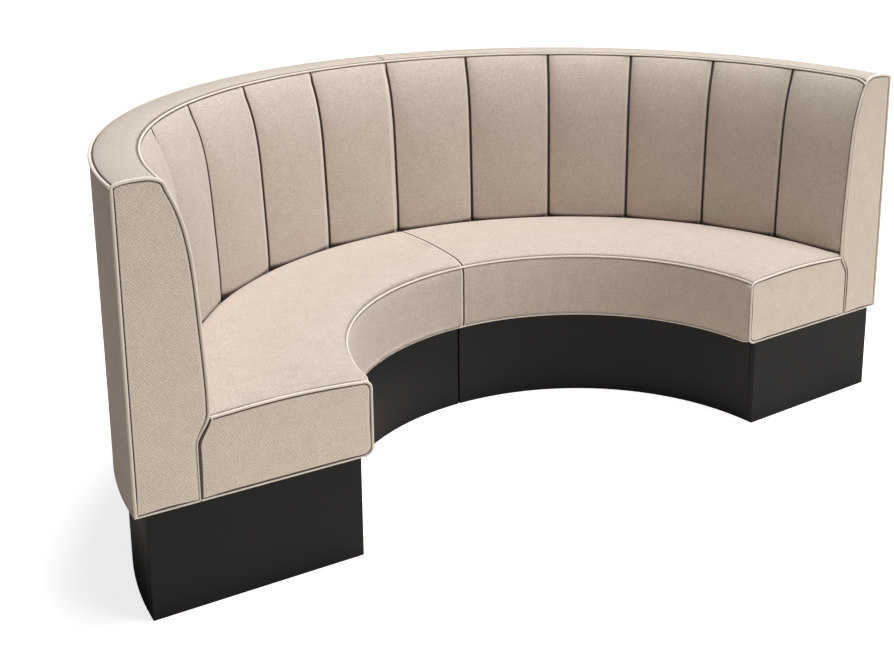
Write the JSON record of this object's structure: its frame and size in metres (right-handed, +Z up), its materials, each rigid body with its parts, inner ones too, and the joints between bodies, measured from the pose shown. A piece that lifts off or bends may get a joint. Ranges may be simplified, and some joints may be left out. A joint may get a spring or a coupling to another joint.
{
  "type": "upholstered banquette bench",
  "caption": "Half-round upholstered booth bench in mirrored sections, with a fluted high back, crowned seat, piped edges and a black plinth on levelling glides.",
  "frame": {"origin": "middle of the bounding box on the floor, under the bench", "axes": "+Z up, +Y towards the middle of the back, so a sitter in the middle faces -Y; +X to the right seen from the open front, along the longest extent"},
  "size_m": [2.366, 1.1623, 1.012],
  "materials": {
    "upholstery": "woven greige cloth",
    "piping": "self-coloured piping cord",
    "plinth": "matt black lacquer",
    "frame_board": "bare birch plywood",
    "zinc_steel": "zinc plated"
  },
  "bodies": {
    "bench": {"joint_bolts": "zinc_steel", "joint_nuts": "zinc_steel", "left_back_bottom_rail": "frame_board", "left_back_channels": "upholstery", "left_back_end_board": "frame_board", "left_back_end_cover": "upholstery", "left_back_inner_board": "frame_board", "left_back_outer_board": "frame_board", "left_back_piping": "piping", "left_back_ribs": "frame_board", "left_back_top_band": "upholstery", "left_back_top_rail": "frame_board", "left_glide_blocks": "frame_board", "left_glide_nuts": "zinc_steel", "left_outside_back_cover": "upholstery", "left_plinth_back_panel": "plinth", "left_plinth_end_panel": "plinth", "left_plinth_front_panel": "plinth", "left_plinth_joint_panel": "frame_board", "left_plinth_ribs": "frame_board", "left_seat_back_rail": "frame_board", "left_seat_cushion": "upholstery", "left_seat_deck": "frame_board", "left_seat_front_rail": "frame_board", "left_seat_piping": "piping", "left_seat_ribs": "frame_board", "right_back_bottom_rail": "frame_board", "right_back_channels": "upholstery", "right_back_end_board": "frame_board", "right_back_end_cover": "upholstery", "right_back_inner_board": "frame_board", "right_back_outer_board": "frame_board", "right_back_piping": "piping", "right_back_ribs": "frame_board", "right_back_top_band": "upholstery", "right_back_top_rail": "frame_board", "right_glide_blocks": "frame_board", "right_glide_nuts": "zinc_steel", "right_outside_back_cover": "upholstery", "right_plinth_back_panel": "plinth", "right_plinth_end_panel": "plinth", "right_plinth_front_panel": "plinth", "right_plinth_joint_panel": "frame_board", "right_plinth_ribs": "frame_board", "right_seat_back_rail": "frame_board", "right_seat_cushion": "upholstery", "right_seat_deck": "frame_board", "right_seat_front_rail": "frame_board", "right_seat_piping": "piping", "right_seat_ribs": "frame_board"},
    "left_glide_1_body": {"left_glide_1": "zinc_steel"},
    "left_glide_2_body": {"left_glide_2": "zinc_steel"},
    "left_glide_3_body": {"left_glide_3": "zinc_steel"},
    "left_glide_4_body": {"left_glide_4": "zinc_steel"},
    "right_glide_1_body": {"right_glide_1": "zinc_steel"},
    "right_glide_2_body": {"right_glide_2": "zinc_steel"},
    "right_glide_3_body": {"right_glide_3": "zinc_steel"},
    "right_glide_4_body": {"right_glide_4": "zinc_steel"}
  },
  "joints": [
    {"name": "left_glide_1_screw", "type": "slide", "parent": "bench", "child": "left_glide_1_body", "axis": [0, 0, -1], "range_m": [0, 0.012]},
    {"name": "left_glide_2_screw", "type": "slide", "parent": "bench", "child": "left_glide_2_body", "axis": [0, 0, -1], "range_m": [0, 0.012]},
    {"name": "left_glide_3_screw", "type": "slide", "parent": "bench", "child": "left_glide_3_body", "axis": [0, 0, -1], "range_m": [0, 0.012]},
    {"name": "left_glide_4_screw", "type": "slide", "parent": "bench", "child": "left_glide_4_body", "axis": [0, 0, -1], "range_m": [0, 0.012]},
    {"name": "right_glide_1_screw", "type": "slide", "parent": "bench", "child": "right_glide_1_body", "axis": [0, 0, -1], "range_m": [0, 0.012]},
    {"name": "right_glide_2_screw", "type": "slide", "parent": "bench", "child": "right_glide_2_body", "axis": [0, 0, -1], "range_m": [0, 0.012]},
    {"name": "right_glide_3_screw", "type": "slide", "parent": "bench", "child": "right_glide_3_body", "axis": [0, 0, -1], "range_m": [0, 0.012]},
    {"name": "right_glide_4_screw", "type": "slide", "parent": "bench", "child": "right_glide_4_body", "axis": [0, 0, -1], "range_m": [0, 0.012]}
  ]
}
